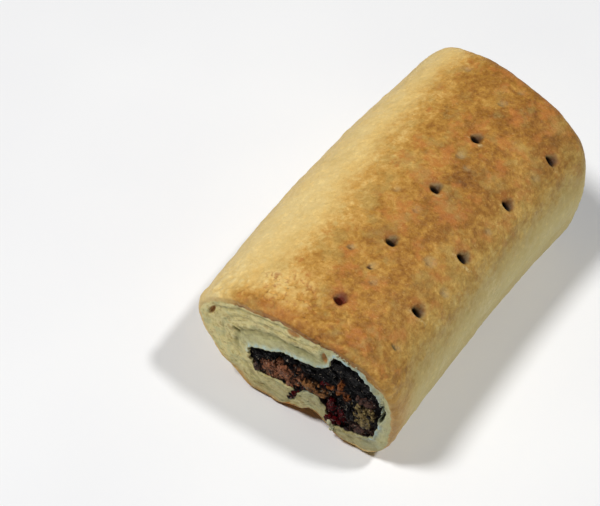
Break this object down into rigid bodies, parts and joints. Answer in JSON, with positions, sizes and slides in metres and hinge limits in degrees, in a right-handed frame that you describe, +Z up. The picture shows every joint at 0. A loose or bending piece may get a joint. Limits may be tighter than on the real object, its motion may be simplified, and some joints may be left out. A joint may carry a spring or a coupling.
{
  "type": "sausage roll",
  "caption": "Baked roll of puff pastry wrapped round a dark minced filling, cut across at both ends, with docking holes along its browned top.",
  "frame": {"origin": "on the ground, under the middle of the roll's bounding box", "axes": "+Y along the roll away from the front cut, +X to the right seen from the front cut, +Z up through the browned top"},
  "size_m": [0.06, 0.1016, 0.0431],
  "materials": {
    "baked_pastry": "baked golden brown on top, pale cream at the sides and cuts, faintly greasy",
    "minced_filling": "dark, moist and glossy coarse mince"
  },
  "bodies": {
    "root": {"pastry": "baked_pastry", "filling": "minced_filling"}
  },
  "joints": []
}
